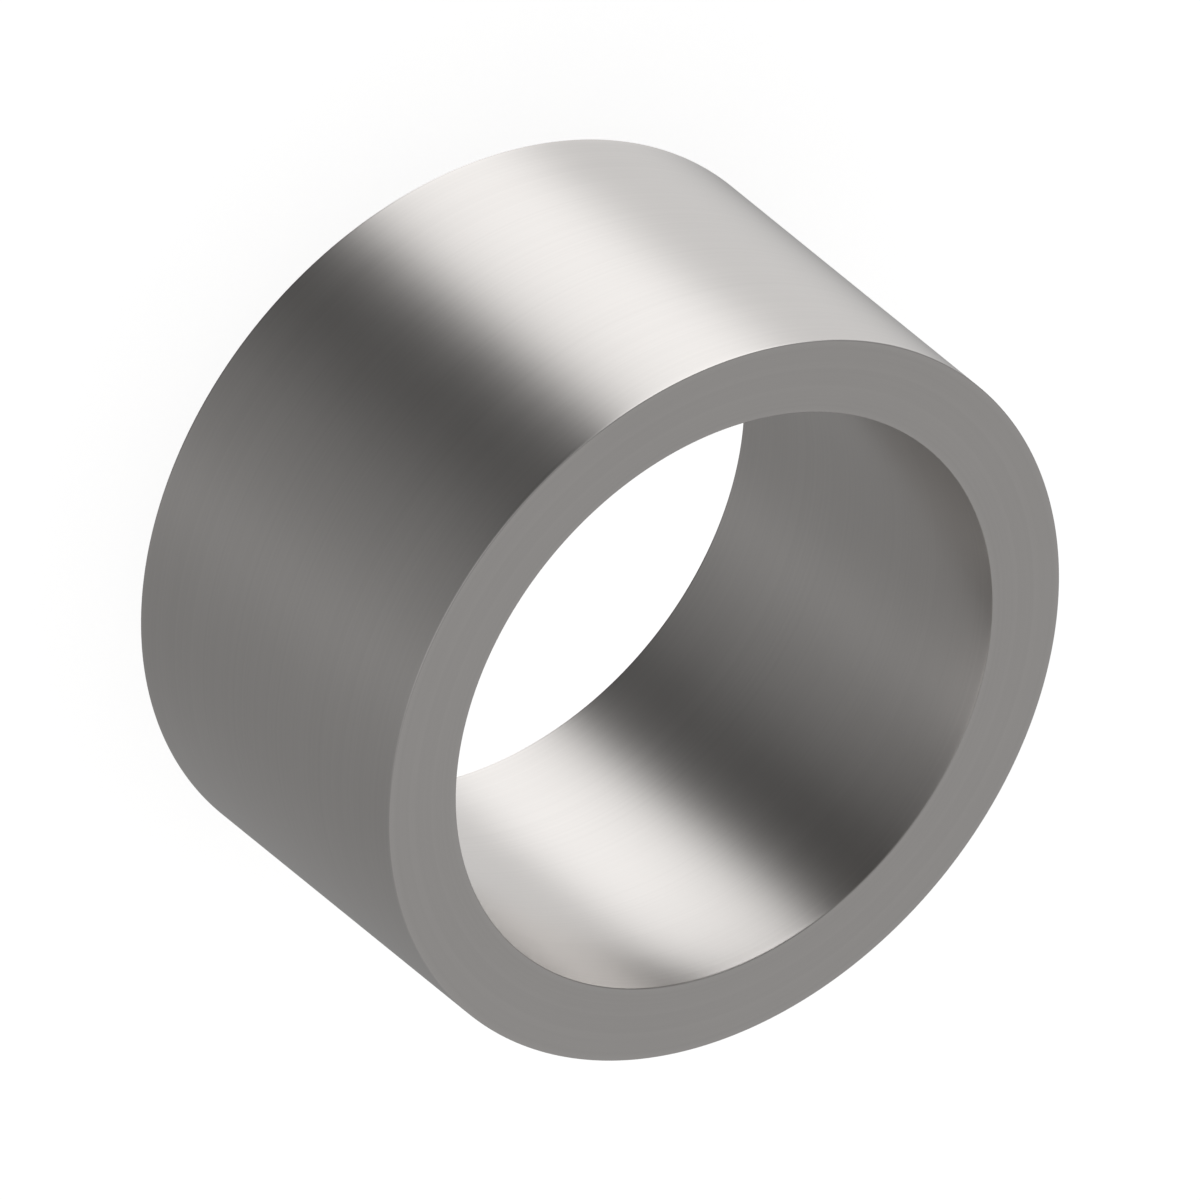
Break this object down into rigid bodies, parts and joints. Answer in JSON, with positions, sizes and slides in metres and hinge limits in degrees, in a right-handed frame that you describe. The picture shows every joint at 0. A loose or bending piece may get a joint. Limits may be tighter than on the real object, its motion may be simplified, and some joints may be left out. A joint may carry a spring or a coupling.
{
  "type": "bushing",
  "caption": "Plain cylindrical steel bushing: a short, thick-walled turned ring with a straight bore, a straight outside and square end faces.",
  "frame": {"origin": "centre of the bore in the plane of the lower end face, which is the face that the bushing stands on", "axes": "+Z along the bore's axis, from the lower end face to the upper one; the ring is round about Z, so X and Y are any two square directions across it"},
  "size_m": [0.0318, 0.0318, 0.0175],
  "materials": {
    "turned_steel": "bare steel, fine turned, satin"
  },
  "bodies": {
    "root": {"bushing": "turned_steel"}
  },
  "joints": []
}
